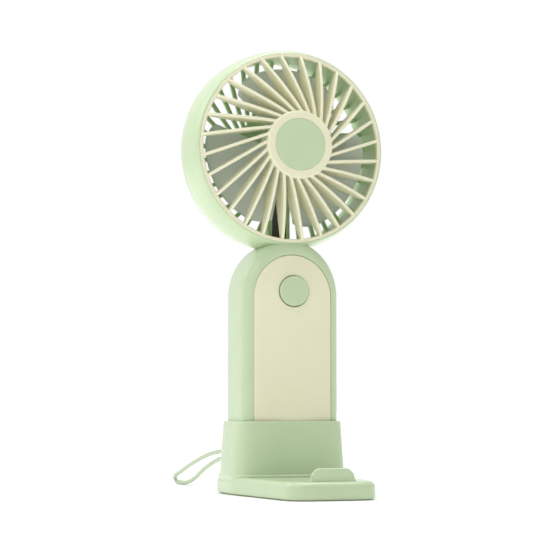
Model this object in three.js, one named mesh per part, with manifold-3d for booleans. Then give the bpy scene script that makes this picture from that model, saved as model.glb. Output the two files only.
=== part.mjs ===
// Handheld electric fan standing in its phone-stand base.
// Millimetres. +Z up, the fan blows towards -Y, +X is the fan's left-to-right as seen from the front.
// The origin is on the standing surface, straight below the axis of the handle.
import * as THREE from 'three';
import { mergeVertices } from 'three/addons/utils/BufferGeometryUtils.js';
import Module from 'manifold-3d';

const wasm = await Module();
wasm.setup();

// ---------------------------------------------------------------- driving dimensions
const GAP = 0.3;                 // clearance left between neighbouring pieces

// head
const HEAD_Z = 160.2;            // height of the fan's axis
const RING_Y = -15.0;            // front plane of the grille ring
const RING_R = 44.1;             // outer radius of the grille ring
const RING_IN = 42.6;            // inner radius of the ring and of its skirt
const SKIRT_Y = -13.0;           // how far back the skirt reaches
const HUB_Y = -27.2;             // front plane of the grille hub
const HUB_R = 15.76;
const BADGE_R = 12.0;
const VANES = 28;
const VANE_IN = [16.3, -17.6];   // radius and angle where a vane leaves the hub
const VANE_OUT = [43.1, 6.9];    // radius and angle where it meets the ring
const VANE_T = 1.7;
const VANE_BACK = -12.9;         // rear edge of the vanes over their outer half
const DUCT_R = 43.1;             // inner radius of the air duct
const BARS = 36;                 // bars of the rear grille
const BAR_T = 1.8;
const BAR_OFFSET = 10.2;         // distance of a bar's line from the axis

// impeller
const BLADES = 3;
const TIP_R = 38.3;
const ROTOR_HUB_R = 11.5;
const BLADE_FROM = 39.7;         // degrees, rear edge of the first blade
const BLADE_SPAN = 96.6;         // degrees, to its front edge
const BLADE_Y = [0.6, -10.4];    // rear and front edge depths

// handle
const HALF_W = 23.4;             // half width of the handle
const FRONT_Y = -16.0;
const BACK_Y = 14.0;
const EDGE_R = 6.0;              // rounding of the handle's long edges
const ARCH_Z = 91.3;             // springing height of the handle's arched top
const ARCH_H = 26.0;
const BOTTOM_Z = 4.6;
const WALL = 2.1;

// front panel and button
const PANEL_W = 18.75;           // half width
const PANEL_ARCH_Z = 90.7;
const PANEL_ARCH_H = 19.5;
const PANEL_BOTTOM = 8.2;
const PANEL_CROWN = 2.2;
const BUTTON_Z = 93.4;
const BUTTON_R = 6.95;
const BUTTON_FACE = -19.2;

// electrics
const CELL_R = 9.2;
const CELL_Y = 2.4;
const CELL_Z = [26.0, 91.0];
const BOARD_Y = [-9.4, -7.9];

// base
const BASE_Z0 = 0.4;             // lower rim of the base, above the grip pads
const PLATFORM_TOP = 8.3;
const PLATFORM_W = 28.0;         // half width beside the cup
const PLATFORM_FRONT_W = 20.0;   // half width at the front
const PLATFORM_FRONT = -72.5;
const PLATFORM_BACK = 18.6;
const CUP_TOP = 33.7;
const CUP_FLOOR = 4.2;
const LIP_W = 10.6;              // half width of the phone lip
const LIP_TOP = 14.0;
const LIP_Y = [-69.2, -66.8];

// lanyard
const CORD_R = 1.05;
export const LANYARD_ROUTE = [
  [-17.0, 13.4, 19.0], [-17.0, 16.5, 19.2], [-17.0, 22.0, 19.3], [-17.2, 31.0, 19.1], [-17.5, 40.0, 18.6],
  [-17.9, 50.0, 17.6], [-18.3, 60.0, 16.2], [-18.7, 70.0, 14.3], [-19.1, 80.0, 12.1], [-19.5, 91.0, 9.5],
  [-19.8, 101.0, 6.9], [-20.1, 108.0, 5.2], [-20.1, 111.2, 4.2], [-19.9, 112.4, 2.8], [-19.6, 111.2, 1.5],
  [-19.3, 108.0, 1.08], [-19.1, 103.0, 1.08], [-18.9, 96.0, 1.25], [-18.6, 88.0, 2.4], [-18.2, 79.0, 4.8],
  [-18.0, 71.0, 7.6], [-17.7, 63.5, 10.0], [-17.5, 56.0, 12.0], [-17.3, 48.5, 13.7], [-17.1, 41.0, 15.0],
  [-17.0, 31.0, 15.8], [-17.0, 22.0, 16.0], [-17.0, 16.5, 15.9], [-17.0, 13.4, 15.8],
];

// ---------------------------------------------------------------- helpers
const rad = (d) => (d * Math.PI) / 180;
const polar = (r, deg) => [r * Math.cos(rad(deg)), r * Math.sin(rad(deg))];

// closed BufferGeometry -> Manifold, vertices merged, faces outward
function solid(geometry) {
  const g = geometry.index ? geometry.toNonIndexed() : geometry.clone();
  for (const name of Object.keys(g.attributes)) if (name !== 'position') g.deleteAttribute(name);
  const m = mergeVertices(g, 1e-4);
  const p = m.attributes.position.array;
  const t = [];
  let volume = 0;
  for (let i = 0; i < m.index.count; i += 3) {
    const a = m.index.array[i], b = m.index.array[i + 1], c = m.index.array[i + 2];
    if (a === b || b === c || a === c) continue;
    t.push(a, b, c);
    volume += p[3 * a] * (p[3 * b + 1] * p[3 * c + 2] - p[3 * b + 2] * p[3 * c + 1])
      + p[3 * a + 1] * (p[3 * b + 2] * p[3 * c] - p[3 * b] * p[3 * c + 2])
      + p[3 * a + 2] * (p[3 * b] * p[3 * c + 1] - p[3 * b + 1] * p[3 * c]);
  }
  if (volume < 0) for (let i = 0; i < t.length; i += 3) [t[i + 1], t[i + 2]] = [t[i + 2], t[i + 1]];
  return new wasm.Manifold(new wasm.Mesh({ numProp: 3, vertProperties: new Float32Array(p), triVerts: new Uint32Array(t) }));
}

function geometryOf(manifold) {
  const mesh = manifold.getMesh();
  const g = new THREE.BufferGeometry();
  g.setAttribute('position', new THREE.BufferAttribute(new Float32Array(mesh.vertProperties), 3));
  g.setIndex(new THREE.BufferAttribute(new Uint32Array(mesh.triVerts), 1));
  g.computeVertexNormals();
  return g;
}

const box = (x0, x1, y0, y1, z0, z1) => solid(new THREE.BoxGeometry(x1 - x0, y1 - y0, z1 - z0)
  .translate((x0 + x1) / 2, (y0 + y1) / 2, (z0 + z1) / 2));

const rodY = (r, y0, y1, x, z, n = 24) => solid(new THREE.CylinderGeometry(r, r, y1 - y0, n)
  .translate(x, (y0 + y1) / 2, z));
const rodZ = (r, z0, z1, x, y, n = 16) => solid(new THREE.CylinderGeometry(r, r, z1 - z0, n)
  .rotateX(Math.PI / 2).translate(x, y, (z0 + z1) / 2));
const rodX = (r, x0, x1, y, z, n = 16) => solid(new THREE.CylinderGeometry(r, r, x1 - x0, n)
  .rotateZ(-Math.PI / 2).translate((x0 + x1) / 2, y, z));

// body of revolution about the fan's axis; profile points are [radius, y]
const turned = (profile, n = 40) => solid(new THREE.LatheGeometry(
  profile.map(([r, y]) => new THREE.Vector2(r, y)), n).translate(0, 0, HEAD_Z));
const turnedRing = (profile, n = 40) => turned([...profile, profile[0]], n);

// plate: outline in X-Z, thickness from y0 to y1, edges rounded by `bevel`
function plateY(shape, y0, y1, bevel = 0, bevelSegments = 4, curveSegments = 10) {
  const g = new THREE.ExtrudeGeometry(shape, {
    depth: y1 - y0 - 2 * bevel, bevelEnabled: bevel > 0, bevelSize: bevel, bevelThickness: bevel,
    bevelSegments, curveSegments, steps: 1,
  });
  return solid(g.rotateX(Math.PI / 2).translate(0, y1 - bevel, 0));
}
// plate: outline in X-Y, thickness from z0 to z1
function plateZ(shape, z0, z1, curveSegments = 3) {
  return solid(new THREE.ExtrudeGeometry(shape, { depth: z1 - z0, bevelEnabled: false, curveSegments, steps: 1 })
    .translate(0, 0, z0));
}

// skin through closed loops of equal length, flat fan caps at both ends
function loft(rings) {
  const n = rings[0].length, pos = [], idx = [];
  for (const ring of rings) for (const p of ring) pos.push(...p);
  for (let k = 0; k + 1 < rings.length; k++) {
    for (let i = 0; i < n; i++) {
      const j = (i + 1) % n, a = k * n + i, b = k * n + j, c = (k + 1) * n + j, d = (k + 1) * n + i;
      idx.push(a, b, c, a, c, d);
    }
  }
  for (const [k, flip] of [[0, true], [rings.length - 1, false]]) {
    const c = pos.length / 3, mid = [0, 0, 0];
    for (const p of rings[k]) for (let q = 0; q < 3; q++) mid[q] += p[q] / n;
    pos.push(...mid);
    for (let i = 0; i < n; i++) {
      const a = k * n + i, b = k * n + ((i + 1) % n);
      if (flip) idx.push(c, b, a); else idx.push(c, a, b);
    }
  }
  const g = new THREE.BufferGeometry();
  g.setAttribute('position', new THREE.Float32BufferAttribute(pos, 3));
  g.setIndex(idx);
  return solid(g);
}

// tube along a smooth curve
function tube(points, r, sides, steps) {
  const section = new THREE.Shape();
  for (let i = 0; i < sides; i++) {
    const [x, y] = polar(r, (360 * i) / sides);
    if (i === 0) section.moveTo(x, y); else section.lineTo(x, y);
  }
  section.closePath();
  const path = new THREE.CatmullRomCurve3(points.map((p) => new THREE.Vector3(...p)), false, 'centripetal');
  return solid(new THREE.ExtrudeGeometry(section, { extrudePath: path, steps, bevelEnabled: false }));
}

// arched outline: straight sides, half-ellipse top, bottom corners rounded
function archShape(w, bottom, archZ, archH, corner, n = 16) {
  const s = new THREE.Shape();
  s.moveTo(-w + corner, bottom);
  s.lineTo(w - corner, bottom);
  if (corner > 0) s.absarc(w - corner, bottom + corner, corner, -Math.PI / 2, 0, false);
  for (let i = 0; i <= n; i++) {
    const t = (Math.PI * i) / n;
    s.lineTo(w * Math.cos(t), archZ + archH * Math.sin(t));
  }
  if (corner > 0) s.absarc(-w + corner, bottom + corner, corner, Math.PI, Math.PI * 1.5, false);
  s.closePath();
  return s;
}

function roundedRect(x0, x1, y0, y1, r) {
  const s = new THREE.Shape();
  s.moveTo(x0 + r, y0);
  s.lineTo(x1 - r, y0); s.absarc(x1 - r, y0 + r, r, -Math.PI / 2, 0, false);
  s.lineTo(x1, y1 - r); s.absarc(x1 - r, y1 - r, r, 0, Math.PI / 2, false);
  s.lineTo(x0 + r, y1); s.absarc(x0 + r, y1 - r, r, Math.PI / 2, Math.PI, false);
  s.lineTo(x0, y0 + r); s.absarc(x0 + r, y0 + r, r, Math.PI, Math.PI * 1.5, false);
  return s;
}

// ---------------------------------------------------------------- base
// plan outline of the platform, drawn in by `inset`
function platformOutline(inset) {
  const V = [[-PLATFORM_W, PLATFORM_BACK, 9], [-PLATFORM_W, -8, 40], [-PLATFORM_FRONT_W, PLATFORM_FRONT, 9.5],
    [PLATFORM_FRONT_W, PLATFORM_FRONT, 9.5], [PLATFORM_W, -8, 40], [PLATFORM_W, PLATFORM_BACK, 9]];
  const out = [];
  V.forEach(([x, y, r], i) => {
    const p = new THREE.Vector2(x, y);
    const q0 = new THREE.Vector2(...V[(i + V.length - 1) % V.length].slice(0, 2)).sub(p);
    const q1 = new THREE.Vector2(...V[(i + 1) % V.length].slice(0, 2)).sub(p);
    const l0 = q0.length(), l1 = q1.length();
    q0.normalize(); q1.normalize();
    const half = Math.acos(q0.dot(q1)) / 2;
    const t = Math.min(r / Math.tan(half), 0.48 * l0, 0.48 * l1), rr = t * Math.tan(half);
    const c = q0.clone().add(q1).normalize().multiplyScalar(rr / Math.sin(half)).add(p);
    const a = q0.clone().multiplyScalar(t).add(p).sub(c), b = q1.clone().multiplyScalar(t).add(p).sub(c);
    const a0 = Math.atan2(a.y, a.x);
    let d = Math.atan2(b.y, b.x) - a0;
    if (d > Math.PI) d -= 2 * Math.PI;
    if (d < -Math.PI) d += 2 * Math.PI;
    for (let k = 0; k <= 4; k++) {
      const w = a0 + (d * k) / 4;
      out.push([c.x + (rr - inset) * Math.cos(w), c.y + (rr - inset) * Math.sin(w)]);
    }
  });
  return out;
}
const atZ = (outline, z) => outline.map(([x, y]) => [x, y, z]);
const shapeOf = (outline) => new THREE.Shape(outline.map(([x, y]) => new THREE.Vector2(x, y)));

// plan section of the cup: superellipse, flatter behind, crowned in front
function cupSection(a, front, back, z, nFront = 4.6, nBack = 5.5, n = 36) {
  const ring = [];
  for (let i = 0; i < n; i++) {
    const t = (2 * Math.PI * i) / n, c = Math.cos(t), s = Math.sin(t);
    const b = s < 0 ? front : back, e = 2 / (s < 0 ? nFront : nBack);
    ring.push([a * Math.sign(c) * Math.abs(c) ** e, b * Math.sign(s) * Math.abs(s) ** e, z]);
  }
  return ring;
}

const screwSpots = [[18.5, -26], [-18.5, -26], [13, -63.5], [-13, -63.5]];

function baseStand() {
  let s = loft([
    atZ(platformOutline(1.2), BASE_Z0), atZ(platformOutline(0), BASE_Z0 + 1.2),
    atZ(platformOutline(0), PLATFORM_TOP - 2.2), atZ(platformOutline(0.7), PLATFORM_TOP - 0.7), atZ(platformOutline(2.4), PLATFORM_TOP),
  ]);
  // cup wall with draft, small flare where it meets the platform
  s = s.add(loft([
    cupSection(27.5, 21.5, 18.2, 6.0), cupSection(27.0, 21.0, 18.0, 9.4), cupSection(25.4, 19.6, 16.5, CUP_TOP),
  ]));
  // phone lip
  const lip = new THREE.Shape();
  lip.moveTo(-LIP_W, 6.0); lip.lineTo(LIP_W, 6.0); lip.lineTo(LIP_W, 7.6); lip.lineTo(LIP_W - 0.9, LIP_TOP - 4.0);
  lip.quadraticCurveTo(LIP_W - 1.4, LIP_TOP, LIP_W - 5.0, LIP_TOP);
  lip.lineTo(-LIP_W + 5.0, LIP_TOP);
  lip.quadraticCurveTo(-LIP_W + 1.4, LIP_TOP, -LIP_W + 0.9, LIP_TOP - 4.0);
  lip.lineTo(-LIP_W, 7.6); lip.closePath();
  s = s.add(plateY(lip, LIP_Y[0], LIP_Y[1], 0, 1, 5));
  // the pocket that the handle stands in
  s = s.subtract(loft([
    cupSection(HALF_W + GAP, 18.7, BACK_Y + GAP, CUP_FLOOR, 4.8, 9, 44), cupSection(HALF_W + GAP, 18.7, BACK_Y + GAP, CUP_TOP + 3, 4.8, 9, 44),
  ]));
  // recess for the bottom cover and hollow front part
  s = s.subtract(plateZ(shapeOf(platformOutline(2.2)), -1, 2.7));
  let hollow = plateZ(shapeOf(platformOutline(2.6)), -1, 6.2);
  hollow = hollow.intersect(box(-40, 40, -90, -23.4, -2, 7));
  for (const [x, y] of screwSpots) hollow = hollow.subtract(rodZ(2.9, 2.7, 7, x, y, 12));
  s = s.subtract(hollow);
  for (const [x, y] of screwSpots) s = s.subtract(rodZ(1.35, -1, 6.0, x, y, 10));
  // slot for the lanyard, open to the rim
  s = s.subtract(box(-20.0, -14.0, 10.0, 24.0, 12.6, CUP_TOP + 3));
  return s;
}

function baseCover() {
  let s = plateZ(shapeOf(platformOutline(2.5)), 0.8, 2.4);
  for (const [x, y] of screwSpots) {
    s = s.subtract(rodZ(1.4, 0, 4, x, y, 10)).subtract(rodZ(2.6, 0, 1.7, x, y, 14));
  }
  return s;
}
const baseScrew = ([x, y]) => rodZ(2.2, 0.6, 1.4, x, y, 14).add(rodZ(1.0, 1.0, 5.7, x, y, 8))
  .subtract(box(x - 1.3, x + 1.3, y - 0.25, y + 0.25, 0.3, 0.95))
  .subtract(box(x - 0.25, x + 0.25, y - 1.3, y + 1.3, 0.3, 0.95));

// ---------------------------------------------------------------- fan body
const DRUM_PROFILE = [
  [0, -14.6], [44.4, -14.6], [45.2, -13.6], [46.1, -10.4], [46.9, -4.4], [47.25, 3.6],
  [46.8, 7.8], [46.1, 10.6], [45.2, 12.4], [44.5, 13.0], [0, 13.0],
];
function bodyShell() {
  const drum = turned(DRUM_PROFILE, 44);
  let s = drum.add(plateY(
    archShape(HALF_W - EDGE_R, BOTTOM_Z + EDGE_R, ARCH_Z, ARCH_H - EDGE_R, 3.5), FRONT_Y, BACK_Y, EDGE_R, 3, 3));
  // hollow of the handle, open to the front behind the panel
  let hollow = plateY(archShape(HALF_W - WALL - 4, BOTTOM_Z + WALL + 4, ARCH_Z, ARCH_H - WALL - 4, 1.5),
    FRONT_Y + WALL, BACK_Y - WALL, 4, 2, 2);
  hollow = hollow.add(plateY(archShape(PANEL_W + 0.2, PANEL_BOTTOM - 0.2, PANEL_ARCH_Z, PANEL_ARCH_H + 0.2, 0), FRONT_Y - 4, FRONT_Y + 6));
  hollow = hollow.subtract(drum);
  s = s.subtract(hollow);
  // hollow of the drum and its rear opening
  s = s.subtract(turned([[0, -20], [44.4, -20], [44.4, 10.1], [43.4, 10.1], [43.4, 20], [0, 20]], 44));
  // passage for the motor leads
  s = s.subtract(box(-3.4, 3.4, 1.0, 8.0, 108, 117));
  // lanyard eye: a pocket in the back wall, crossed by the pin
  s = s.add(box(-21.4, -12.4, 9.0, 12.6, 12.4, 22.4));
  s = s.subtract(box(-20.0, -14.0, 10.4, 20, 13.8, 21.0));
  s = s.subtract(rodX(1.1, -21.0, -12.9, 12.2, 17.4, 12));
  // cradle ribs under the battery cell
  for (const z of [38, 76]) {
    s = s.add(box(-14, 14, 6.5, 12.6, z, z + 1.6).subtract(rodZ(CELL_R + GAP, z - 1, z + 3, 0, CELL_Y, 20)));
  }
  // opening for the charging plug, guides for the charging board
  s = s.subtract(plateZ(roundedRect(-5.0, 5.0, -1.0, 3.4, 2.0), 0, 9));
  for (const x of [-11.2, 9.7]) {
    s = s.add(box(x, x + 1.5, 1.4, 6.2, 6.0, 14.0));
  }
  s = s.subtract(box(-9.9, 9.9, 2.9, 4.9, 7.2, 15));
  return s;
}

// front panel: crowned, hollow behind, bosses for the circuit board
function panelRows(w, bottom, archZ, archH, crown, y0, cols, rows) {
  const at = (s, z) => {
    const k = z > archZ ? Math.sqrt(Math.max(0, 1 - ((z - archZ) / archH) ** 2)) : 1;
    return [w * k * s, y0 - crown * k * k * (1 - s * s), z];
  };
  const zs = [bottom, (bottom + archZ) / 2, archZ];
  for (let i = 1; i <= rows; i++) zs.push(archZ + archH * Math.sin((Math.PI / 2) * (i / rows) * 0.97));
  return zs.map((z) => Array.from({ length: cols + 1 }, (_, i) => at(Math.sin((Math.PI / 2) * (-1 + (2 * i) / cols)), z)));
}
function crownedPlate(w, bottom, archZ, archH, crown, yEdge, yBack, cols = 10, rows = 6) {
  const front = panelRows(w, bottom, archZ, archH, crown, yEdge, cols, rows);
  // each row becomes a closed loop: front line, then the back line
  return loft(front.map((row) => [...row, [row[cols][0], yBack, row[cols][2]], [row[0][0], yBack, row[0][2]]]));
}
const screwBoss = [[11.5, 76.5], [-11.5, 76.5]];
const boardPeg = [[8.5, 104.5], [-8.5, 104.5]];
function frontPanel() {
  let s = crownedPlate(PANEL_W, PANEL_BOTTOM, PANEL_ARCH_Z, PANEL_ARCH_H, PANEL_CROWN, FRONT_Y, -13.2);
  s = s.subtract(crownedPlate(PANEL_W - 1.7, PANEL_BOTTOM + 1.7, PANEL_ARCH_Z, PANEL_ARCH_H - 1.7, PANEL_CROWN, FRONT_Y + 1.8, -10));
  for (const [x, z] of screwBoss) s = s.add(rodY(2.6, -15.2, BOARD_Y[0] - GAP, x, z, 12));
  for (const [x, z] of screwBoss) s = s.subtract(rodY(1.2, -14.2, -9, x, z, 8));
  for (const [x, z] of boardPeg) s = s.add(rodY(2.2, -15.0, BOARD_Y[0] - GAP, x, z, 10)).add(rodY(0.9, -11, BOARD_Y[1] + 0.6, x, z, 8));
  // hooks that snap behind the rim of the handle
  for (const side of [-1, 1]) for (const z of [26, 62]) {
    const x0 = side < 0 ? -19.8 : 17.1, x1 = side < 0 ? -18.5 : 17.1;
    s = s.add(box(x0, x0 + 2.7, -11.6, -10.4, z, z + 5)).add(box(x1, x1 + 1.4, -14.4, -10.4, z, z + 5));
  }
  s = s.subtract(rodY(BUTTON_R + 0.22, -24, -10, 0, BUTTON_Z, 24));
  return s;
}
const powerButton = () => turnedAt([[0, BUTTON_FACE - 0.12], [5.6, BUTTON_FACE], [6.9, BUTTON_FACE + 0.15], [BUTTON_R, BUTTON_FACE + 0.6],
  [BUTTON_R, -15.3], [8.2, -15.3], [8.2, -14.5], [0, -14.5]], 0, BUTTON_Z, 24);
function turnedAt(profile, x, z, n) {
  return solid(new THREE.LatheGeometry(profile.map(([r, y]) => new THREE.Vector2(r, y)), n).translate(x, 0, z));
}
const switchPlunger = () => rodY(1.7, -14.2, -12.3, 0, BUTTON_Z, 20);
const tactileSwitch = () => box(-3, 3, -13.2, BOARD_Y[0] - GAP, BUTTON_Z - 3, BUTTON_Z + 3)
  .subtract(rodY(2.0, -14, -11.6, 0, BUTTON_Z, 20));
function circuitBoard() {
  let s = plateY(roundedRect(-14, 14, 72, 108.5, 2), BOARD_Y[0], BOARD_Y[1], 0, 1, 4);
  s = s.subtract(box(10.6, 15, -10, -7, 98, 110)).subtract(box(-15, -10.6, -10, -7, 98, 110));
  for (const [x, z] of screwBoss) s = s.subtract(rodY(1.3, -11, -7, x, z, 10));
  for (const [x, z] of boardPeg) s = s.subtract(rodY(1.3, -11, -7, x, z, 8));
  return s;
}
const boardScrew = ([x, z]) => rodY(2.0, BOARD_Y[1] + GAP, BOARD_Y[1] + GAP + 1.2, x, z, 12)
  .add(rodY(0.85, -13.9, BOARD_Y[1] + GAP + 0.5, x, z, 8));

function usbPort() {
  const z0 = 5.2, z1 = 12.5;
  let s = plateZ(roundedRect(-4.47, 4.47, -0.3, 2.6, 1.4), z0, z1);
  s = s.subtract(plateZ(roundedRect(-4.12, 4.12, 0.05, 2.25, 1.08), z0 - 1, z1 - 0.8));
  return s.add(box(-3.3, 3.3, 0.8, 1.5, z0 + 0.8, z1));
}

// battery cell: can with a small step at the positive end
const batteryCell = () => solid(new THREE.LatheGeometry([[0, CELL_Z[0]], [8.6, CELL_Z[0]], [CELL_R, CELL_Z[0] + 0.6],
  [CELL_R, CELL_Z[1] - 1.6], [8.6, CELL_Z[1] - 0.9], [4.0, CELL_Z[1] - 0.9], [3.6, CELL_Z[1]], [0, CELL_Z[1]]]
  .map(([r, y]) => new THREE.Vector2(r, y)), 20).rotateX(Math.PI / 2).scale(1, -1, 1).translate(0, CELL_Y, 0));

// ---------------------------------------------------------------- grilles
const domeY = (r) => -15.4 - 11.2 * (1 - (Math.min(1, Math.max(0, (r - 15) / 28))) ** 1.5);
function vane(turn) {
  const [x0, z0] = polar(VANE_IN[0] - 1.2, VANE_IN[1] + turn), [x1, z1] = polar(VANE_OUT[0], VANE_OUT[1] + turn);
  const len = Math.hypot(x1 - x0, z1 - z0), nx = -(z1 - z0) / len, nz = (x1 - x0) / len;
  const rings = [0, 0.12, 0.28, 0.5, 0.8, 1].map((s) => {
    const x = x0 + (x1 - x0) * s, z = z0 + (z1 - z0) * s, yf = domeY(Math.hypot(x, z));
    const h = VANE_T / 2;
    const y0 = s === 1 ? yf + 0.2 : yf, y1 = VANE_BACK - 10.4 * Math.max(0, 1 - s / 0.5) ** 1.6;
    return [[x - nx * h * 0.75, y0, HEAD_Z + z - nz * h * 0.75], [x + nx * h * 0.75, y0, HEAD_Z + z + nz * h * 0.75],
      [x + nx * h, y1, HEAD_Z + z + nz * h], [x - nx * h, y1, HEAD_Z + z - nz * h]];
  });
  return loft(rings);
}
function frontGrille() {
  let s = turnedRing([[RING_IN, SKIRT_Y], [43.9, SKIRT_Y], [RING_R, -13.2], [RING_R, -14.5],
    [43.6, RING_Y], [RING_IN + 0.3, RING_Y], [RING_IN, -14.7]], 44);
  s = s.add(turned([[0, -24.0], [14.2, -24.0], [14.2, -22.4], [HUB_R, -22.4], [HUB_R, HUB_Y + 0.8],
    [HUB_R - 1.0, HUB_Y], [BADGE_R + GAP, HUB_Y], [BADGE_R + GAP, HUB_Y + 1.5], [0, HUB_Y + 1.5]], 28));
  for (let i = 0; i < VANES; i++) s = s.add(vane((360 * i) / VANES));
  return s;
}
const grilleBadge = () => turned([[0, HUB_Y + 0.1], [BADGE_R - 0.25, HUB_Y + 0.1], [BADGE_R, HUB_Y + 0.35], [BADGE_R, HUB_Y + 1.2], [0, HUB_Y + 1.2]], 28);

const rearY = (r) => 3.8 + 5.6 * (1 - (Math.min(1, Math.max(0, (r - 15) / 27))) ** 1.8);
function rearBar(turn) {
  const rs = [18.6, 43.6];
  const rings = rs.map((r) => {
    const along = Math.sqrt(r * r - BAR_OFFSET * BAR_OFFSET);
    // a straight bar that leans clockwise on its way out
    const c = Math.cos(rad(turn)), q = Math.sin(rad(turn));
    const x = along * c - BAR_OFFSET * q, z = along * q + BAR_OFFSET * c;
    const nx = -q, nz = c, h = BAR_T / 2, y = rearY(r);
    return [[x - nx * h, y, HEAD_Z + z - nz * h], [x + nx * h, y, HEAD_Z + z + nz * h],
      [x + nx * h, y + 2.4, HEAD_Z + z + nz * h], [x - nx * h, y + 2.4, HEAD_Z + z - nz * h]];
  });
  return loft(rings);
}
function rearGrille() {
  let s = turnedRing([[DUCT_R, -12.5], [44.1, -12.5], [44.1, 9.8], [DUCT_R, 9.8]], 44);
  s = s.add(turnedRing([[10.9, 2.0], [12.3, 2.0], [12.3, 8.6], [19.6, 8.6], [19.6, 10.6], [11.6, 13.2], [10.9, 13.2]], 28));
  s = s.add(turned([[0, 11.7], [11.2, 11.7], [11.2, 13.2], [0, 13.2]], 28));
  for (let i = 0; i < BARS; i++) s = s.add(rearBar((360 * i) / BARS + 0.4));
  // strut that carries the motor leads down to the handle
  s = s.add(box(-5.3, 5.3, 3.4, 9.2, HEAD_Z - 43.4, HEAD_Z - 11.6).subtract(rodY(10.95, 0, 11.7, 0, HEAD_Z, 28)));
  s = s.subtract(box(-3.4, 3.4, 2.4, 7.6, HEAD_Z - 46, HEAD_Z - 12.9));
  s = s.subtract(box(-2.4, 2.4, 5.2, 10.9, HEAD_Z - 15.6, HEAD_Z - 9));
  return s;
}
const leadCover = () => box(-3.1, 3.1, 3.4, 4.6, HEAD_Z - 41.2, HEAD_Z - 13.3);

// ---------------------------------------------------------------- motor and impeller
const motorCan = () => turnedRing([[1.5, 1.1], [10.2, 1.1], [10.55, 1.5], [10.55, 10.0], [9.75, 10.0], [9.75, 2.0], [1.5, 2.0]], 22);
const motorEndCap = () => turnedRing([[1.5, 10.3], [10.55, 10.3], [10.55, 11.3], [1.5, 11.3]], 22);
const motorMagnetRing = () => turnedRing([[8.0, 2.8], [9.4, 2.8], [9.4, 9.6], [8.0, 9.6]], 18);
const motorArmature = () => turnedRing([[1.35, 3.0], [7.5, 3.0], [7.5, 8.6], [3.0, 8.6], [3.0, 9.8], [1.35, 9.8]], 16);
const motorShaft = () => turned([[0, -13.0], [0.8, -13.0], [1.0, -12.8], [1.0, 11.0], [0.8, 11.2], [0, 11.2]], 12);

function blade(turn) {
  const NU = 6, NR = 3, pos = [], idx = [];
  const r0 = ROTOR_HUB_R - 0.6;
  const point = (u, v, side) => {
    const r = r0 + (TIP_R - r0) * v;
    // corners of the blade are drawn in a little
    const corner = 1 - 0.10 * Math.max(0, (Math.abs(2 * u - 1) - 0.6) / 0.4) ** 2 * v * v;
    const th = BLADE_FROM + turn + BLADE_SPAN * u;
    const [x, z] = polar(r * corner, th);
    const y = BLADE_Y[0] + (BLADE_Y[1] - BLADE_Y[0]) * (u + 0.08 * Math.sin(2 * Math.PI * u)) * (0.86 + 0.14 * v);
    return [x, y + side * (0.85 - 0.25 * v), HEAD_Z + z];
  };
  const id = (i, j, s) => s * (NU + 1) * (NR + 1) + i * (NR + 1) + j;
  for (const s of [0, 1]) for (let i = 0; i <= NU; i++) for (let j = 0; j <= NR; j++) pos.push(...point(i / NU, j / NR, s ? 1 : -1));
  for (let i = 0; i < NU; i++) for (let j = 0; j < NR; j++) {
    const a = id(i, j, 0), b = id(i + 1, j, 0), c = id(i + 1, j + 1, 0), d = id(i, j + 1, 0);
    idx.push(a, b, c, a, c, d);
    const e = id(i, j, 1), f = id(i + 1, j, 1), g = id(i + 1, j + 1, 1), h = id(i, j + 1, 1);
    idx.push(e, g, f, e, h, g);
  }
  const wall = (p, q) => { idx.push(p[0], p[1], q[1], p[0], q[1], q[0]); };
  for (let i = 0; i < NU; i++) {
    wall([id(i + 1, 0, 0), id(i, 0, 0)], [id(i + 1, 0, 1), id(i, 0, 1)]);
    wall([id(i, NR, 0), id(i + 1, NR, 0)], [id(i, NR, 1), id(i + 1, NR, 1)]);
  }
  for (let j = 0; j < NR; j++) {
    wall([id(0, j, 0), id(0, j + 1, 0)], [id(0, j, 1), id(0, j + 1, 1)]);
    wall([id(NU, j + 1, 0), id(NU, j, 0)], [id(NU, j + 1, 1), id(NU, j, 1)]);
  }
  const g = new THREE.BufferGeometry();
  g.setAttribute('position', new THREE.Float32BufferAttribute(pos, 3));
  g.setIndex(idx);
  return solid(g);
}
function impeller() {
  let s = turnedRing([[1.3, -11.0], [1.3, -3.0], [2.9, -3.0], [2.9, -10.4], [9.9, -10.4], [10.2, -0.6], [ROTOR_HUB_R, -0.6],
    [ROTOR_HUB_R - 0.3, -10.6], [9.9, -11.9], [3.2, -12.3], [1.3, -12.3]], 24);
  for (let i = 0; i < BLADES; i++) s = s.add(blade((360 * i) / BLADES).subtract(rodY(10.7, -30, 30, 0, HEAD_Z, 24)));
  return s;
}

// ---------------------------------------------------------------- leads
const lead = (points) => tube(points, 0.55, 5, 12);
const motorLead = (x) => lead([[x, -7.0, 103.5], [x, -6.6, 107.5], [x, -1.5, 110.2], [x, 3.4, 112.2], [x, 6.0, 116.5], [x, 6.2, 124], [x, 6.2, 136],
  [x, 6.3, 144], [x, 7.6, 147.6], [x, 9.4, 148.6]]);

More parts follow.
